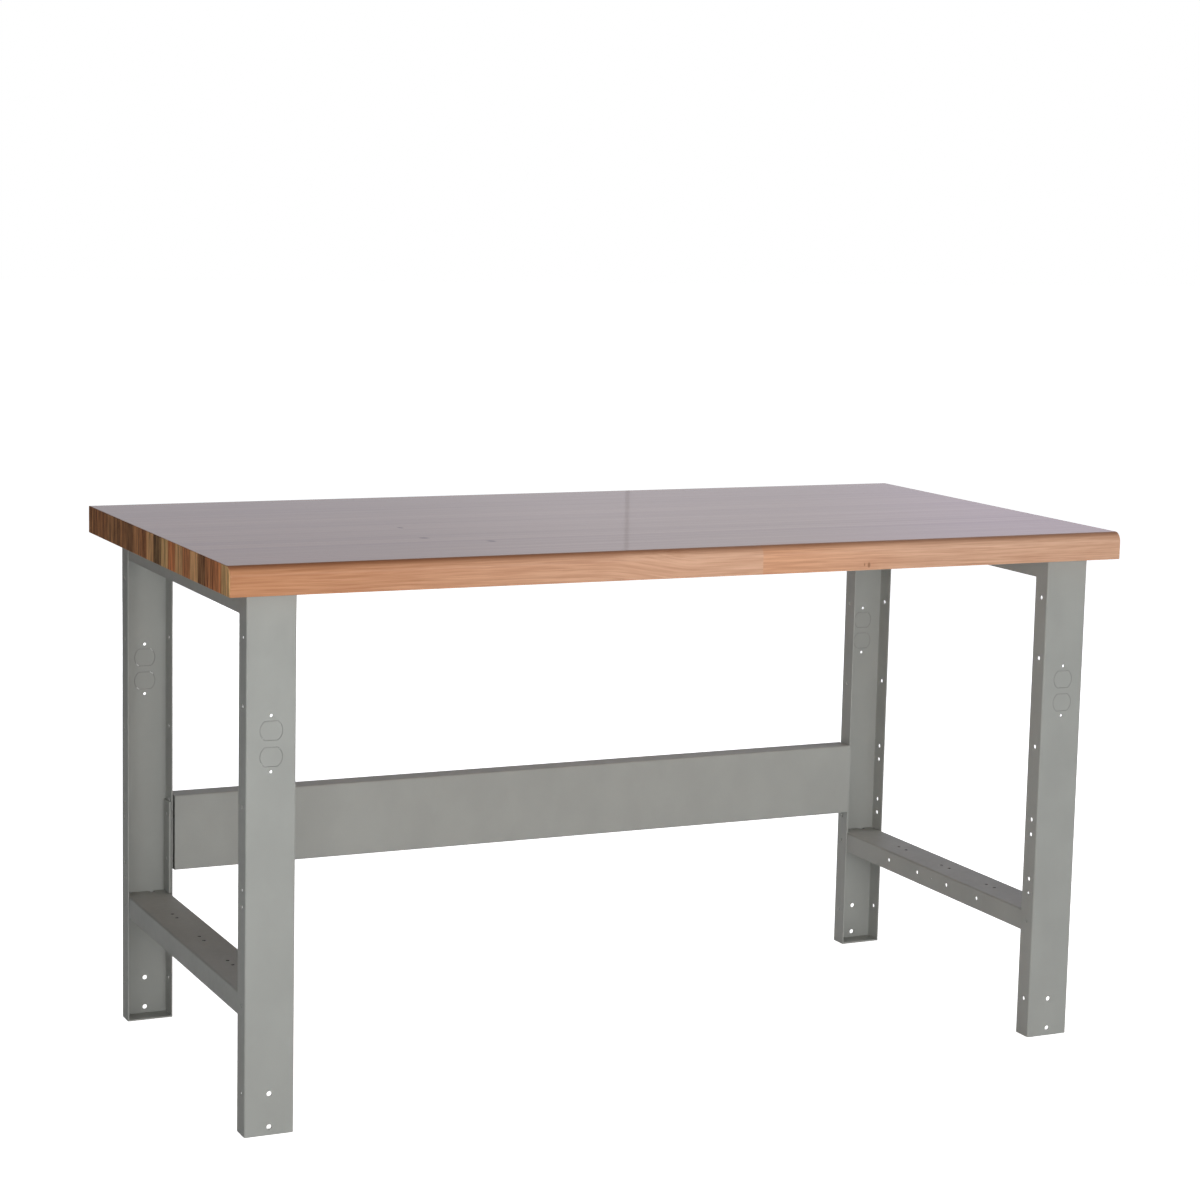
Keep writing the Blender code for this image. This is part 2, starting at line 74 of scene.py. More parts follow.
# World: dim all round, but white to the camera, and to the gloss a white band under a dim ceiling.
# Heights are those of a direction, from 0 at the horizon to 1 overhead.
HORIZON_LIGHT = 0.06
ZENITH_LIGHT = 0.11
ZENITH_START = 0.42
WHITE_BAND_TOP = 0.15
CEILING_START = 0.35
CEILING_GLOSS = 0.12

# White floor a hair under the feet, which glows a little to the camera and to the gloss
FLOOR_SIZE = 60
FLOOR_Z = -0.0004
FLOOR_WHITE = 0.9
FLOOR_CAMERA_LIFT = 0.93
FLOOR_GLOSS_LIFT = 0.1

# Glowing wall behind the bench, hidden from the camera, for the top's gloss. Places and fades are
# along X.
WALL_Y = 3.0
WALL_HEIGHT = 2.6
WALL_DARK_X = -6.0
WALL_LEFT_X = -0.3
WALL_SEAM_X = 1.475
WALL_RIGHT_X = 7.0
WALL_SEAM_WIDTH = 0.013
WALL_DARK_COLOUR = (0.10, 0.10, 0.11)
WALL_LEFT_COLOUR = (0.495, 0.535, 0.605)
WALL_MIDDLE_COLOUR = (0.56, 0.59, 0.665)
WALL_RIGHT_COLOUR = (0.62, 0.625, 0.765)
WALL_SEAM_COLOUR = (0.43, 0.465, 0.53)
WALL_DARK_FADE = (-0.85, -0.35)
WALL_LEFT_FADE = (0.75, 1.45)
WALL_RIGHT_FADE = (1.95, 2.8)

# A noise in a material: its scale along each axis, the part of its range that counts, what that
# part becomes, its detail and its roughness
Layer = namedtuple("Layer", "scale counts becomes detail roughness",
                   defaults=((0.0, 1.0), (0.0, 1.0), 2, 0.5))
NOISE_MEAN = 0.5

# Powder coat
STEEL_COLOUR = (0.344, 0.352, 0.333)
STEEL_SPECULAR = 0.26
COAT_CLOUDS = Layer((14, 14, 9), (0.3, 0.7), (0.97, 1.03), 3)
COAT_SPECKLE = Layer((1400, 1400, 1400), (0.2, 0.8), (-0.02, 0.02), 1)
COAT_ROUGHNESS = Layer((90, 90, 90), (0.25, 0.75), (0.45, 0.55))
COAT_PEEL = Layer((700, 700, 700))
COAT_PEEL_HEIGHT = 0.00003
COAT_PEEL_STRENGTH = 0.6

# Receptacle knockouts in the uprights, and the painted shade along their cuts: a dark ring for the
# shadow in the cut. WEB_FACING and HOLE_FACING tell by a normal's part along one axis which way a
# face looks.
RECEPTACLE_DEPTH = 0.22225
KNOCKOUT_SPACING = 0.0389
KNOCKOUT_RADIUS = 0.0173
KNOCKOUT_FLAT_HEIGHT = 0.0286
# Colour of the painted shade in the knockouts' cuts and on the rail holes' walls
PAINTED_SHADE_COLOUR = (0.05, 0.05, 0.048)
KNOCKOUT_PAINTED_SHADE = 0.27
KNOCKOUT_SHADE_REACH = 0.0013
WEB_FACING = 0.9

# Walls of the holes in the lower rails' flat tops, and the painted shade on them, for the shadow
# inside the holes. The core is the share of the sheet's thickness, to each side of its middle, that
# can hold such a wall.
SHEET = 0.0019
SHEET_CORE = 0.48
HOLE_PAINTED_SHADE = 0.9
HOLE_FACING = 0.3
RAIL_FLAT_HALF_WIDTH = 0.031
RAIL_FLAT_REACH = 0.31

# Zinc plate
ZINC_COLOUR = (0.62, 0.63, 0.64)
ZINC_DULL_COLOUR = (0.52, 0.52, 0.50)
ZINC_MARKS = Layer((300, 2400, 2400), (0.2, 0.8), (0.28, 0.42))
ZINC_BLOTCHES = Layer((260, 260, 260), (0.3, 0.7))
ZINC_MARK_HEIGHT = 0.00001

# Boards of the top: their rounds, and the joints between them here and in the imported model
NOSE_RADIUS = 0.015875
NOSE_SEGMENTS = 18
OUTER_EASE = 0.0012
FRONT_CORNER_EASE = 0.0032
JOINT_EASE = 0.00003
EASE_SEGMENTS = 3
PACKED_GAP = 0.0003
JOINT_GAP = 0.00002
OUTER_SLACK = 0.001
REACH_DIGITS = 7

# Sides of a board, as an end of its box (lowest or highest corner) and an axis
SIDES = {"front": (0, 1), "back": (1, 1), "left": (0, 0), "right": (1, 0)}

# Traits that each board gives the wood, and the bounds of their random draws
TRAITS = ("board_pith", "board_seed", "board_mood")
DRAW_SEED = 20
SEED_MEAN = 0.5
PITH_ASIDE = (0.07, 0.16)
PITH_RISE = (-0.05, 0.05)
SEED_SHIFT = (3.0, 17.0, 29.0)

# Growth rings, as phases of a ring, and the noises that bend them
RING_PITCH = 0.0027
RING_RISE = (0.1, 0.85)
RING_FALL = (1.0, 0.88)
FLOW = Layer((1.1, 9, 9))
FLOW_BEND = 0.03
RIPPLE = Layer((7, 45, 45))
RIPPLE_BEND = 0.0024

# Long grain: what darkens it, and its colours along the bench
RING_DARK = 0.14
STREAK = Layer((11, 380, 380), (0.28, 0.72), (-0.04, 0.50), 3, 0.6)
FIBRE = Layer((14, 1100, 1100), (0.2, 0.8), (-0.08, 0.08))
BAND = Layer((1.4, 80, 80), (0.3, 0.7), (-0.04, 0.18))
FLECK = Layer((120, 900, 900), (0.72, 0.82), (0.0, 0.25), 1)
MEAN_DARK = 0.30
STAVE_TONE = 0.35
WOOD_LIGHT = (0.74, 0.40, 0.235)
WOOD_DARK = (0.48, 0.215, 0.11)
WOOD_TINT_LEFT = (0.76, 0.68, 0.58)
WOOD_TINT_RIGHT = (1.0, 1.145, 1.33)
WOOD_TINT_FADE = (-0.9, 0.1)

# The front course's figure, which drops along X, and its warmer tone right of the butt joint
FIGURE_FADE = (-0.18, -0.01)
FIGURE_DROP = 0.023
JOINT_WARMTH = (1.0, 0.89, 0.79)
JOINT_WARMTH_FADE = 0.34

# The top's face has a quieter grain. Turns are of a normal towards +Z.
FACE_TURN = (0.97, 1.0)
TOP_QUIET = 0.3

# Dark band round the nose, painted shade on its upper curve, with its strength at the left and at
# the right
NOSE_LOWER_TURN = (0.45, 0.9)
NOSE_UPPER_TURN = (1.0, 0.985)
NOSE_FADE = (-0.6, 0.4)
NOSE_SHADE_STRENGTH = (0.95, 0.6)
NOSE_DULLING = (0.75, 0.1)
NOSE_SHADE_COLOUR = (0.30, 0.12, 0.055)

# End grain, with a painted shade on the end that faces +X. Turns are of a normal towards +X.
END_TURN = (0.5, 0.9)
RIGHT_END_TURN = (0.0, 0.5)
END_RING_DARK = 0.12
RAYS = Layer((60, 260, 12), (0.3, 0.7), (-0.34, 0.28), 3, 0.6)
PORES = Layer((90, 700, 60), (0.3, 0.7), (-0.1, 0.1))
END_LIGHT = (0.87, 0.475, 0.215)
END_DARK = (0.105, 0.047, 0.019)
END_RED = (1.12, 0.68, 0.55)
END_OLIVE = (0.85, 1.12, 1.05)
RIGHT_END_PAINTED_SHADE = (0.62, 0.62, 0.66)

# End grain of the courses, front to back: how dark, and how red or, below zero, how olive
END_MOODS = (
    (0.31, -0.35), (0.42, 0.7), (0.62, 0.6), (0.85, 0.2), (0.27, 0.0), (0.50, 0.6), (0.38, -0.05),
    (0.44, 0.8), (0.30, -0.4), (0.90, -0.3), (0.40, 0.0), (0.70, 0.5), (0.58, 0.3), (0.79, 0.2),
    (0.62, 0.3), (0.70, 0.2), (0.66, 0.2), (0.69, 0.4), (0.71, 0.4), (0.70, 0.35),
)

# Knots and pin marks: centre, half the size along each axis, and strength
KNOTS = (
    ((0.284, -0.381, 0.821), (0.0028, 0.012, 0.0045), 0.7),
    ((0.276, -0.381, 0.822), (0.0012, 0.012, 0.0030), 0.6),
    ((-0.367, -0.0235, 0.857), (0.0050, 0.0090, 0.006), 0.8),
    ((-0.377, -0.1515, 0.857), (0.0085, 0.0100, 0.006), 0.8),
    ((-0.290, -0.2130, 0.857), (0.0075, 0.0110, 0.006), 0.9),
)
KNOT_COLOUR = (0.20, 0.085, 0.04)
KNOT_EDGE = (1.3, 0.4)
KNOT_DULLING = 0.25

# Lacquer, with its weight on the long faces and on the ends
WOOD_ROUGHNESS = 0.5
WOOD_SPECULAR = 0.06
LACQUER_WEIGHTS = (0.9, 0.06)
LACQUER_ROUGHNESS = 0.06
LACQUER_IOR = 1.5
FIBRE_HEIGHT = 0.00004
FIBRE_BUMP = 0.35

# Places of the Mix node's colours among its sockets
MIX_COLOUR_INPUTS = (6, 7)
MIX_COLOUR_OUTPUT = 2


class Graph:
    """A material's or world's nodes, added one call at a time."""

    def __init__(self, tree):
        self.tree = tree
        tree.nodes.clear()

    def feed(self, socket, value):
        """Link another node's output to a socket, or set the socket to a plain value."""
        if isinstance(value, bpy.types.NodeSocket):
            self.tree.links.new(value, socket)
        else:
            socket.default_value = value

    def add(self, kind, inputs=None, **settings):
        """Add a node, set it up, and feed its inputs."""
        node = self.tree.nodes.new("ShaderNode" + kind)
        for name, value in settings.items():
            setattr(node, name, value)
        for name, value in (inputs or {}).items():
            self.feed(node.inputs[name], value)
        return node

    def math(self, operation, first, second=0.0, third=0.0, clamp=False):
        """Add a Math node and return its result."""
        inputs = {0: first, 1: second, 2: third}
        return self.add("Math", inputs, operation=operation, use_clamp=clamp).outputs[0]

    def total(self, first, *others):
        """Add values up, one after another."""
        for other in others:
            first = self.math("ADD", first, other)
        return first

    def product(self, first, *others):
        """Multiply values, one after another."""
        for other in others:
            first = self.math("MULTIPLY", first, other)
        return first

    def apart(self, first, second):
        """How far two values are apart."""
        return self.math("ABSOLUTE", self.math("SUBTRACT", first, second))

    def spread(self, value, low, high, new_low=0.0, new_high=1.0):
        """Map a value from one range to another, with a soft start and end."""
        inputs = {"Value": value, "From Min": low, "From Max": high,
                  "To Min": new_low, "To Max": new_high}
        return self.add("MapRange", inputs, interpolation_type="SMOOTHSTEP").outputs["Result"]

    def split(self, vector):
        """The three parts of a vector."""
        return self.add("SeparateXYZ", {0: vector}).outputs

    def vector(self, operation, first, second):
        """Add a Vector Math node and return its vector."""
        inputs = {0: first, 1: second}
        return self.add("VectorMath", inputs, operation=operation).outputs["Vector"]

    def length(self, vector):
        """The length of a vector."""
        return self.add("VectorMath", {0: vector}, operation="LENGTH").outputs["Value"]

    def noise(self, place, layer):
        """A layer's plain noise."""
        inputs = {"Vector": self.vector("MULTIPLY", place, layer.scale), "Scale": 1.0,
                  "Detail": layer.detail, "Roughness": layer.roughness}
        return self.add("TexNoise", inputs).outputs["Fac"]

    def ranged(self, noise, layer):
        """A layer's noise, mapped to what it becomes."""
        return self.spread(noise, *layer.counts, *layer.becomes)

    def layer(self, place, layer):
        """What a layer's noise becomes at a place."""
        return self.ranged(self.noise(place, layer), layer)

    def mix(self, factor, first, second, blend="MIX"):
        """Mix two colours."""
        node = self.add("Mix", {"Factor": factor}, data_type="RGBA", blend_type=blend)
        for index, colour in zip(MIX_COLOUR_INPUTS, (first, second)):
            is_socket = isinstance(colour, bpy.types.NodeSocket)
            self.feed(node.inputs[index], colour if is_socket else (*colour, 1))
        return node.outputs[MIX_COLOUR_OUTPUT]

    def bump(self, height, distance, strength=1.0):
        """Add a bump from a height and return its normal."""
        inputs = {"Height": height, "Distance": distance, "Strength": strength}
        return self.add("Bump", inputs).outputs["Normal"]


def new_material(name):
    """Make an empty material and its graph."""
    material = bpy.data.materials.new(name)
    material.use_nodes = True
    return material, Graph(material.node_tree)


def place_of(graph):
    """The point on the object, in metres."""
    return graph.add("TexCoord").outputs["Object"]


def facing_of(graph):
    """The three parts of the surface's normal, in the object's own space."""
    return graph.split(graph.add("TexCoord").outputs["Normal"])


def close(graph, shader):
    """Join a shader to the material's output."""
    graph.add("OutputMaterial", {"Surface": shader.outputs[0]})


def knockout_shade_ring(graph, across, height, upright_top):
    """Painted shade along the knockouts' outlines: circles cut off flat above and below."""
    level = graph.apart(height, upright_top - RECEPTACLE_DEPTH)
    rise = graph.apart(level, KNOCKOUT_SPACING / 2)
    radius = graph.length(graph.add("CombineXYZ", {0: across, 1: rise}).outputs[0])
    outside = graph.math("MAXIMUM", graph.math("SUBTRACT", radius, KNOCKOUT_RADIUS),
                         graph.math("SUBTRACT", rise, KNOCKOUT_FLAT_HEIGHT / 2))
    return graph.spread(graph.math("ABSOLUTE", outside), KNOCKOUT_SHADE_REACH, 0.0, 0.0, KNOCKOUT_PAINTED_SHADE)


def rail_hole_walls(graph, across, depth, height, upward):
    """One on the walls of the holes in the lower rails' flat tops, and zero elsewhere."""
    rail_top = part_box("lower_rail_left")[1][2]
    in_sheet = graph.math("COMPARE", height, rail_top - SHEET / 2, SHEET * SHEET_CORE)
    on_wall = graph.math("LESS_THAN", graph.math("ABSOLUTE", upward), HOLE_FACING)
    in_width = graph.math("LESS_THAN", graph.math("ABSOLUTE", across), RAIL_FLAT_HALF_WIDTH)
    in_reach = graph.math("LESS_THAN", graph.math("ABSOLUTE", depth), RAIL_FLAT_REACH)
    return graph.product(in_sheet, on_wall, in_width, in_reach)


def painted_cut_shade(graph, place):
    """Painted shade at the knockouts' cuts and in the holes of the lower rails' tops, where shadow
    falls.
    """
    x, y, z = graph.split(place)
    facing = facing_of(graph)
    low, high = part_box("upright_front_right")
    across = graph.math("SUBTRACT", graph.math("ABSOLUTE", x), (low[0] + high[0]) / 2)
    knockout_shade = knockout_shade_ring(graph, across, z, high[2])
    on_web = graph.math("GREATER_THAN", graph.math("ABSOLUTE", facing[1]), WEB_FACING)
    in_hole = rail_hole_walls(graph, across, y, z, facing[2])
    return graph.math("MAXIMUM", graph.product(knockout_shade, on_web),
                      graph.product(in_hole, HOLE_PAINTED_SHADE))


def make_powder_coat():
    """Grey semi-gloss powder coat with a fine orange peel, and painted shade in cuts and rail
    holes.
    """
    material, graph = new_material("powder_coat")
    place = place_of(graph)
    tone = graph.total(graph.layer(place, COAT_CLOUDS), graph.layer(place, COAT_SPECKLE))
    shade = graph.add("CombineColor", {0: tone, 1: tone, 2: tone}).outputs[0]
    colour = graph.mix(1.0, STEEL_COLOUR, shade, "MULTIPLY")
    peel = graph.noise(place, COAT_PEEL)
    close(graph, graph.add("BsdfPrincipled", {
        # Painted shade in the knockouts' cuts and on the rail holes' walls
        "Base Color": graph.mix(painted_cut_shade(graph, place), colour, PAINTED_SHADE_COLOUR),
        "Roughness": graph.layer(place, COAT_ROUGHNESS),
        "Specular IOR Level": STEEL_SPECULAR,
        "Normal": graph.bump(peel, COAT_PEEL_HEIGHT, COAT_PEEL_STRENGTH),
    }))
    return material


def make_zinc():
    """Zinc-plated steel with turning marks."""
    material, graph = new_material("zinc_plate")
    place = place_of(graph)
    marks = graph.noise(place, ZINC_MARKS)
    close(graph, graph.add("BsdfPrincipled", {
        "Base Color": graph.mix(graph.layer(place, ZINC_BLOTCHES), ZINC_COLOUR, ZINC_DULL_COLOUR),
        "Metallic": 1.0,
        "Roughness": graph.ranged(marks, ZINC_MARKS),
        "Normal": graph.bump(marks, ZINC_MARK_HEIGHT),
    }))
    return material


def knot_cover(graph, place):
    """Where the knots are, as a value that is their strength at their hearts."""
    cover = 0.0
    for centre, reach, strength in KNOTS:
        offset = graph.vector("DIVIDE", graph.vector("SUBTRACT", place, centre), reach)
        spot = graph.spread(graph.length(offset), *KNOT_EDGE, 0.0, strength)
        cover = graph.math("MAXIMUM", cover, spot)
    return cover


def board_sockets(graph):
    """What the wood reads: the point, its place in the grain, its facing and the board's traits."""
    place = place_of(graph)
    along = graph.split(place)[0]
    facing = facing_of(graph)
    pith, seed, mood = (graph.add("Attribute", attribute_name=name).outputs["Vector"]
                        for name in TRAITS)
    end_tone, end_hue, is_front = graph.split(mood)
    drop = graph.product(graph.spread(along, *FIGURE_FADE, 0.0, FIGURE_DROP), is_front)
    bent = graph.vector("ADD", place, graph.add("CombineXYZ", {2: drop}).outputs[0])
    grain = graph.vector("ADD", bent, graph.vector("MULTIPLY", seed, SEED_SHIFT))
    return SimpleNamespace(place=place, along=along, towards_x=facing[0], upward=facing[2],
                           bent=bent, grain=grain, pith=pith, stave=graph.split(seed)[0],
                           end_tone=end_tone, end_hue=end_hue, is_front=is_front)


def growth_rings(graph, board):
    """How far into a ring's dark late wood the point is."""
    offset = graph.vector("SUBTRACT", board.bent, board.pith)
    radius = graph.length(graph.vector("MULTIPLY", offset, (0, 1, 1)))
    flow = graph.math("SUBTRACT", graph.noise(board.grain, FLOW), NOISE_MEAN)
    ripple = graph.math("SUBTRACT", graph.noise(board.grain, RIPPLE), NOISE_MEAN)
    bent_radius = graph.total(radius, graph.product(flow, FLOW_BEND),
                              graph.product(ripple, RIPPLE_BEND))
    phase = graph.math("FRACT", graph.math("DIVIDE", bent_radius, RING_PITCH))
    return graph.product(graph.spread(phase, *RING_RISE), graph.spread(phase, *RING_FALL))


def long_grain(graph, board, rings, fibre, quiet):
    """The colour of the long faces, without knots and wear."""
    dark = graph.total(graph.product(rings, RING_DARK), graph.layer(board.grain, STREAK),
                       graph.ranged(fibre, FIBRE))
    dark = graph.math("MULTIPLY_ADD", graph.math("SUBTRACT", dark, MEAN_DARK), quiet, MEAN_DARK)
    dark = graph.total(dark, graph.layer(board.grain, BAND), graph.layer(board.grain, FLECK))
    stave_tone = graph.product(graph.math("SUBTRACT", SEED_MEAN, board.stave),
                               graph.math("SUBTRACT", 1.0, board.is_front))
    dark = graph.math("MULTIPLY_ADD", stave_tone, STAVE_TONE, dark, clamp=True)
    tint = graph.mix(graph.spread(board.along, *WOOD_TINT_FADE), WOOD_TINT_LEFT, WOOD_TINT_RIGHT)
    colour = graph.mix(1.0, graph.mix(dark, WOOD_LIGHT, WOOD_DARK), tint, "MULTIPLY")

    joint_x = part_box("front_board_right")[0][0]
    past_joint = graph.math("GREATER_THAN", board.along, joint_x - JOINT_GAP)
    fade = graph.spread(board.along, joint_x + JOINT_WARMTH_FADE, joint_x)
    warmth = graph.product(past_joint, fade, board.is_front)
    return graph.mix(warmth, colour, JOINT_WARMTH, "MULTIPLY")


def end_grain(graph, board, rings):
    """The colour of the boards' ends, in each board's own tone and hue, with painted shade at the
    right end.
    """
    dark = graph.total(graph.product(rings, END_RING_DARK), graph.layer(board.grain, RAYS),
                       graph.layer(board.grain, PORES))
    dark = graph.math("ADD", dark, board.end_tone, clamp=True)
    colour = graph.mix(dark, END_LIGHT, END_DARK)
    red = graph.math("MAXIMUM", board.end_hue, 0.0)
    olive = graph.math("MAXIMUM", graph.product(board.end_hue, -1.0), 0.0)
    colour = graph.mix(red, colour, END_RED, "MULTIPLY")
    colour = graph.mix(olive, colour, END_OLIVE, "MULTIPLY")
    # Painted shade on the end that faces +X
    right_shaded = graph.spread(board.towards_x, *RIGHT_END_TURN)
    return graph.mix(right_shaded, colour, RIGHT_END_PAINTED_SHADE, "MULTIPLY")


def make_wood():
    """Lacquered hardwood: rings round a pith set per board, fibres along X, darker end grain,
    painted nose shade.
    """
    material, graph = new_material("lacquered_hardwood")
    board = board_sockets(graph)
    rings = growth_rings(graph, board)
    fibre = graph.noise(board.grain, FIBRE)
    quiet = graph.spread(board.upward, *FACE_TURN, 1.0, TOP_QUIET)
    knots = knot_cover(graph, board.place)
    face = graph.mix(knots, long_grain(graph, board, rings, fibre, quiet), KNOT_COLOUR)

    # Painted shade on the nose's upper curve, stronger at the left
    on_nose = graph.product(graph.spread(board.upward, *NOSE_LOWER_TURN),
                            graph.spread(board.upward, *NOSE_UPPER_TURN))
    nose_shade = graph.product(on_nose, graph.spread(board.along, *NOSE_FADE, *NOSE_SHADE_STRENGTH))
    dulled = graph.product(on_nose, graph.spread(board.along, *NOSE_FADE, *NOSE_DULLING))
    dulled = graph.math("MAXIMUM", dulled, graph.product(knots, KNOT_DULLING))
    at_end = graph.spread(graph.math("ABSOLUTE", board.towards_x), *END_TURN)
    shaded_face = graph.mix(nose_shade, face, NOSE_SHADE_COLOUR)
    lacquer = graph.product(graph.spread(at_end, 0.0, 1.0, *LACQUER_WEIGHTS),
                            graph.math("SUBTRACT", 1.0, dulled))
    close(graph, graph.add("BsdfPrincipled", {
        "Base Color": graph.mix(at_end, shaded_face, end_grain(graph, board, rings)),
        "Roughness": WOOD_ROUGHNESS,
        "Specular IOR Level": WOOD_SPECULAR,
        "Coat Weight": lacquer,
        "Coat Roughness": LACQUER_ROUGHNESS,
        "Coat IOR": LACQUER_IOR,
        "Normal": graph.bump(fibre, FIBRE_HEIGHT, graph.product(quiet, FIBRE_BUMP)),
    }))
    return material


def eased(ease, reach):
    """How far a round edge draws in at a distance from the board's end, and how far it leans."""
    if reach >= ease:
        return 0.0, 0.0
    lean = math.asin(1 - reach / ease)
    return ease * (1 - math.cos(lean)), lean


def board_section(low, high, radii, reach, eases):
    """A board's outline near one end, as points in the YZ plane with normals that lean to the end.

    The corners are front bottom, back bottom, back top and front top. The eases are those of the
    front corner and of the other edges.
    """
    front_bottom, back_bottom, back_top, front_top = radii
    front_inset, front_lean = eased(eases[0], reach)
    inset, lean = eased(eases[1], reach)
    front = low[1] + (front_inset if front_bottom > JOINT_EASE else 0)
    back = high[1] - (inset if back_bottom > JOINT_EASE else 0)
    bottom = low[2] + inset
    top = high[2] - inset
    section = []
    corners = ((front, bottom, 1, 1, front_bottom, 180), (back, bottom, -1, 1, back_bottom, 270),
               (back, top, -1, -1, back_top, 0), (front, top, 1, -1, front_top, 90))
    for y, z, y_sign, z_sign, radius, start in corners:
        segments = NOSE_SEGMENTS if radius == NOSE_RADIUS else EASE_SEGMENTS
        y_radius = max(radius - abs(y - (low[1] if y_sign > 0 else high[1])), JOINT_EASE)
        z_radius = max(radius - inset, JOINT_EASE)
        centre = Vector((y + y_sign * y_radius, z + z_sign * z_radius))
        for step in range(segments + 1):
            angle = math.radians(start + 90 * step / segments)
            flat = Vector((math.cos(angle), math.sin(angle)))
            point = centre + Vector((flat[0] * y_radius, flat[1] * z_radius))
            tilt = lean
            if y_sign > 0:
                tilt += (front_lean - lean) * max(-flat[0], 0)
            section.append((point, flat * math.cos(tilt), math.sin(tilt)))
    return section


def board_reaches(eases):
    """Distances from a board's end at which its section is drawn."""
    reaches = set()
    for ease in eases:
        for step in range(EASE_SEGMENTS + 1):
            turn = math.radians(90) * step / EASE_SEGMENTS
            reaches.add(round(ease * (1 - math.sin(turn)), REACH_DIGITS))
    return sorted(reaches)


def board_mesh(name, low, high, radii, end_eases):
    """A board's mesh: its section carried along X, with eased outer edges and closed ends."""
    left_eases, right_eases = end_eases
    left_reaches = board_reaches(left_eases)
    right_reaches = reversed(board_reaches(right_eases))
    stations = [(low[0], 1, reach, left_eases) for reach in left_reaches]
    stations += [(high[0], -1, reach, right_eases) for reach in right_reaches]
    bm = bmesh.new()
    loops = []
    normals = []
    for end_x, inwards, reach, eases in stations:
        section = board_section(low, high, radii, reach, eases)
        x = end_x + inwards * reach
        loops.append([bm.verts.new((x, *point)) for point, flat, tilt in section])
        normals += [(-inwards * tilt, *flat) for point, flat, tilt in section]
    for near, far in zip(loops, loops[1:]):
        for index in range(len(near)):
            after = (index + 1) % len(near)
            bm.faces.new((near[index], near[after], far[after], far[index]))
    bm.faces.new(loops[0][::-1])
    bm.faces.new(loops[-1])
    bmesh.ops.recalc_face_normals(bm, faces=bm.faces)
    mesh = bpy.data.meshes.new(name)
    bm.to_mesh(mesh)
    bm.free()
    mesh.shade_smooth()
    mesh.normals_split_custom_set_from_vertices(normals)
    return mesh


def board_traits(draw, low, high, course, is_front):
    """The pith, seed and mood of a board, as the vectors that its material reads."""
    aside = draw.choice((-1, 1)) * draw.uniform(*PITH_ASIDE)
    rise = draw.uniform(*PITH_RISE)
    pith = (0, (low[1] + high[1]) / 2 + aside, (low[2] + high[2]) / 2 + rise)
    seed = (draw.random(), draw.random(), draw.random())
    mood = (*END_MOODS[course], float(is_front))
    return dict(zip(TRAITS, (pith, seed, mood)))


def add_board(name, replaced, mesh, traits, material):
    """Put a board's mesh in the scene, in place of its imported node."""
    for label, value in traits.items():
        layer = mesh.attributes.new(label, "FLOAT_VECTOR", "POINT")
        layer.data.foreach_set("vector", list(value) * len(mesh.vertices))
    mesh.materials.append(material)
    board = bpy.data.objects.new(name, mesh)
    bpy.context.scene.collection.objects.link(board)
    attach(board, "root")
    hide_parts(replaced)


def closed_up(box, top_box):
    """A board's box, grown to hairline joints where it meets other boards, and its outer sides."""
    corners = [Vector(corner) for corner in box]
    growth = PACKED_GAP / 2 - JOINT_GAP / 2
    outer = set()
    for side, (end, axis) in SIDES.items():
        if abs(corners[end][axis] - top_box[end][axis]) < OUTER_SLACK:
            outer.add(side)
        else:
            corners[end][axis] += growth if end else -growth
    return corners, outer


def make_top(wood):
    """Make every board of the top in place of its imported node."""
    draw = random.Random(DRAW_SEED)
    nodes = sorted(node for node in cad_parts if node.startswith(("front_board", "stave")))
    lows, highs = zip(*(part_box(node) for node in nodes))
    top_box = ([min(values) for values in zip(*lows)], [max(values) for values in zip(*highs)])
    for node in nodes:
        (low, high), outer = closed_up(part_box(node), top_box)
        is_front = "front" in outer
        front_bottom = OUTER_EASE if is_front else JOINT_EASE
        front_top = NOSE_RADIUS if is_front else JOINT_EASE
        back = OUTER_EASE if "back" in outer else JOINT_EASE
        radii = (front_bottom, back, back, front_top)
        outer_eases = (FRONT_CORNER_EASE if is_front else OUTER_EASE, OUTER_EASE)
        end_eases = [outer_eases if side in outer else (JOINT_EASE, JOINT_EASE)
                     for side in ("left", "right")]
        course = int(node[-2:]) - 1 if node.startswith("stave") else 0
        traits = board_traits(draw, low, high, course, is_front)
        name = node + "_board"
        add_board(name, node, board_mesh(name, low, high, radii, end_eases), traits, wood)


def dress_nodes():
    """Give the steel and the fasteners their finishes."""
    coats = {"paint": make_powder_coat(), "zinc": make_zinc()}
    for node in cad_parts.values():
        for holder in node.material_slots:
            if holder.material and holder.material.name in coats:
                holder.material = coats[holder.material.name]


def add_plane(name, corners, material):
    """Add a flat backdrop that isn't part of the bench."""
    mesh = bpy.data.meshes.new(name)
    mesh.from_pydata(corners, [], [tuple(range(len(corners)))])
    mesh.materials.append(material)
    plane = bpy.data.objects.new(name, mesh)
    bpy.context.scene.collection.objects.link(plane)
    return plane


def mirrored_rays(graph, path):
    """One for the rays that reflections and clear things send out, and zero for others."""
    return graph.math("MAXIMUM", path["Is Glossy Ray"], path["Is Transmission Ray"])


def make_floor():
    """White floor that keeps a faint shadow under a lift towards white."""
    material, graph = new_material("studio_floor")
    diffuse = graph.add("BsdfDiffuse", {"Color": (FLOOR_WHITE, FLOOR_WHITE, FLOOR_WHITE, 1)})
    path = graph.add("LightPath").outputs
    strength = graph.math("MAXIMUM", graph.product(mirrored_rays(graph, path), FLOOR_GLOSS_LIFT),
                          graph.product(path["Is Camera Ray"], FLOOR_CAMERA_LIFT))
    lift = graph.add("Emission", {"Strength": strength})
    close(graph, graph.add("AddShader", {0: diffuse.outputs[0], 1: lift.outputs[0]}))
    half = FLOOR_SIZE / 2
    corners = ((-half, -half), (half, -half), (half, half), (-half, half))
    add_plane("studio_floor", [(*corner, FLOOR_Z) for corner in corners], material)


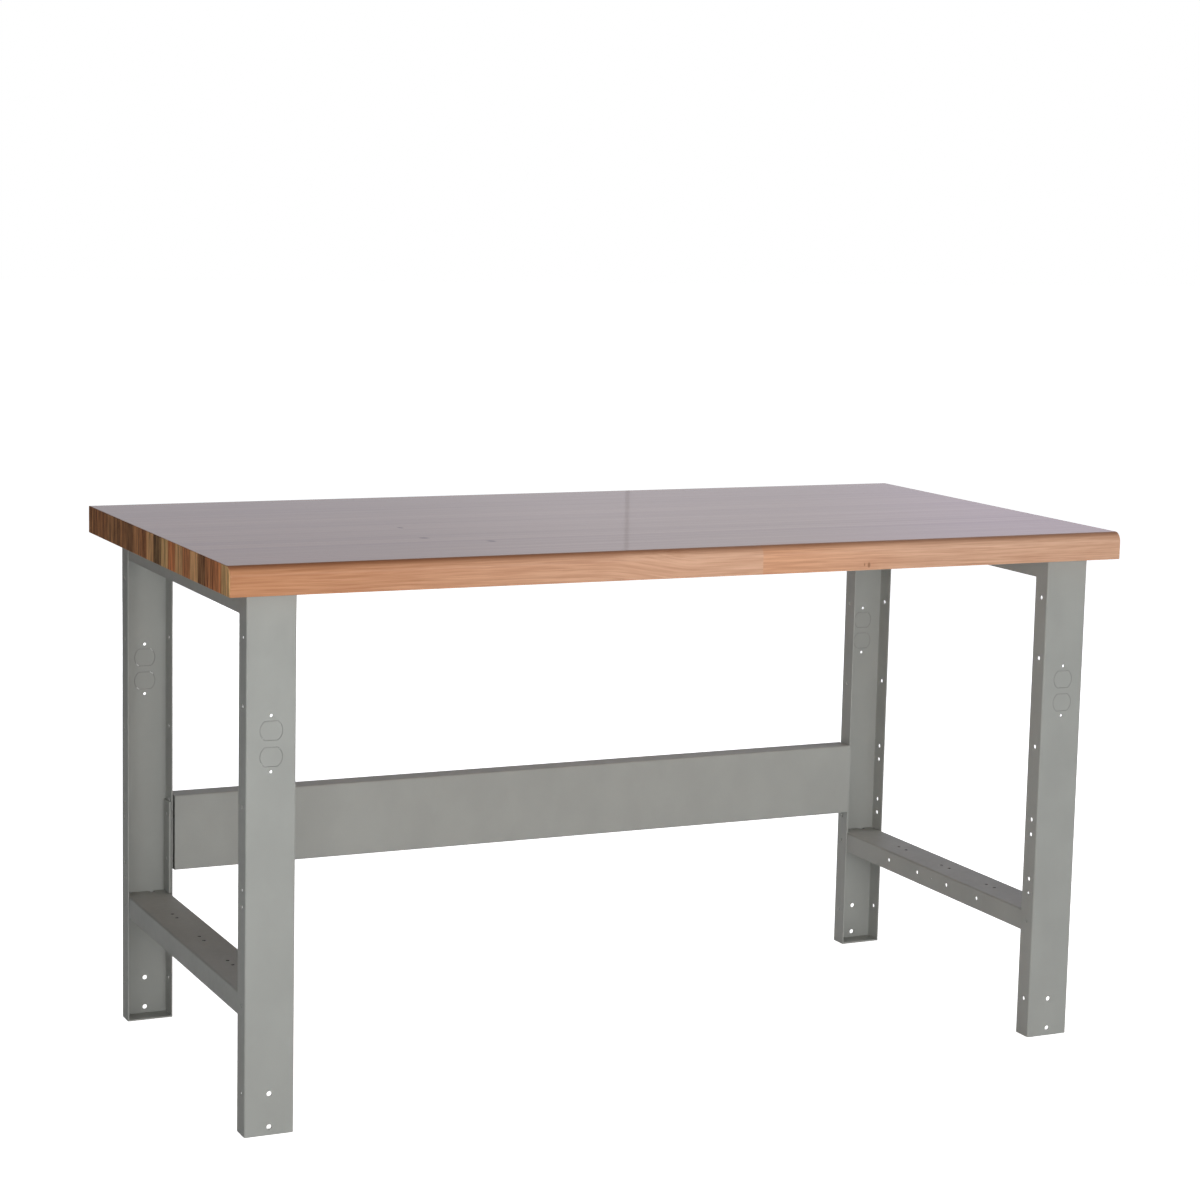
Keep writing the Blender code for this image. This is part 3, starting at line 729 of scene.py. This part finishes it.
def wall_panel(name, left, right, colours, fade):
    """One panel of the wall, which fades from one colour to another along X."""
    material, graph = new_material(name)
    along = graph.split(place_of(graph))[0]
    colour = graph.mix(graph.spread(along, *fade), *colours)
    close(graph, graph.add("Emission", {"Color": colour, "Strength": 1.0}))
    corners = [(left, WALL_Y, 0), (right, WALL_Y, 0),
               (right, WALL_Y, WALL_HEIGHT), (left, WALL_Y, WALL_HEIGHT)]
    panel = add_plane(name, corners, material)
    panel.visible_camera = False
    panel.visible_shadow = False


def make_wall():
    """The wall: a dark end at the left, then two panels with a darker seam between them."""
    seam_end = WALL_SEAM_X + WALL_SEAM_WIDTH
    wall_panel("wall_dark", WALL_DARK_X, WALL_LEFT_X, (WALL_DARK_COLOUR, WALL_LEFT_COLOUR),
               WALL_DARK_FADE)
    wall_panel("wall_left", WALL_LEFT_X, WALL_SEAM_X, (WALL_LEFT_COLOUR, WALL_MIDDLE_COLOUR),
               WALL_LEFT_FADE)
    wall_panel("wall_seam", WALL_SEAM_X, seam_end, (WALL_SEAM_COLOUR, WALL_SEAM_COLOUR),
               WALL_LEFT_FADE)
    wall_panel("wall_right", seam_end, WALL_RIGHT_X, (WALL_MIDDLE_COLOUR, WALL_RIGHT_COLOUR),
               WALL_RIGHT_FADE)


def make_world():
    """A dim light all round, which the camera and the gloss see as brighter than it is."""
    world = bpy.data.worlds.new("studio")
    bpy.context.scene.world = world
    world.use_nodes = True
    graph = Graph(world.node_tree)
    path = graph.add("LightPath").outputs
    height = graph.split(graph.add("TexCoord").outputs["Generated"])[2]
    soft = graph.spread(height, 0.0, ZENITH_START, HORIZON_LIGHT, ZENITH_LIGHT)
    band = graph.spread(height, WHITE_BAND_TOP, CEILING_START, 1.0, CEILING_GLOSS)
    mirrored = mirrored_rays(graph, path)
    level = graph.total(graph.product(mirrored, band),
                        graph.product(graph.math("SUBTRACT", 1.0, mirrored), soft))
    strength = graph.math("MAXIMUM", level, path["Is Camera Ray"])
    background = graph.add("Background", {"Color": (1, 1, 1, 1), "Strength": strength})
    graph.add("OutputWorld", {"Surface": background.outputs[0]})


def add_lamp(name, place, size, watts):
    """Add a square soft lamp that points at the bench."""
    light = bpy.data.lights.new(name, "AREA")
    light.shape = "SQUARE"
    light.size = size
    light.energy = watts
    lamp = bpy.data.objects.new(name, light)
    lamp.location = place
    lamp.rotation_euler = (Vector(LAMP_AIM) - Vector(place)).to_track_quat("-Z", "Y").to_euler()
    lamp.visible_glossy = False
    bpy.context.scene.collection.objects.link(lamp)


def make_camera():
    """Put the camera where the photograph was taken from."""
    data = bpy.data.cameras.new("camera")
    data.lens = LENS_MM
    data.sensor_width = SENSOR_MM
    data.shift_x, data.shift_y = CAMERA_SHIFT
    camera = bpy.data.objects.new("camera", data)
    camera.location = CAMERA_PLACE
    camera.rotation_euler = [math.radians(angle) for angle in CAMERA_TURN_DEGREES]
    bpy.context.scene.collection.objects.link(camera)
    bpy.context.scene.camera = camera


dress_nodes()
make_top(make_wood())
make_floor()
make_wall()
make_world()
for name, settings in LAMPS.items():
    add_lamp(name, *settings)
make_camera()
bpy.context.scene.view_settings.view_transform = "Standard"
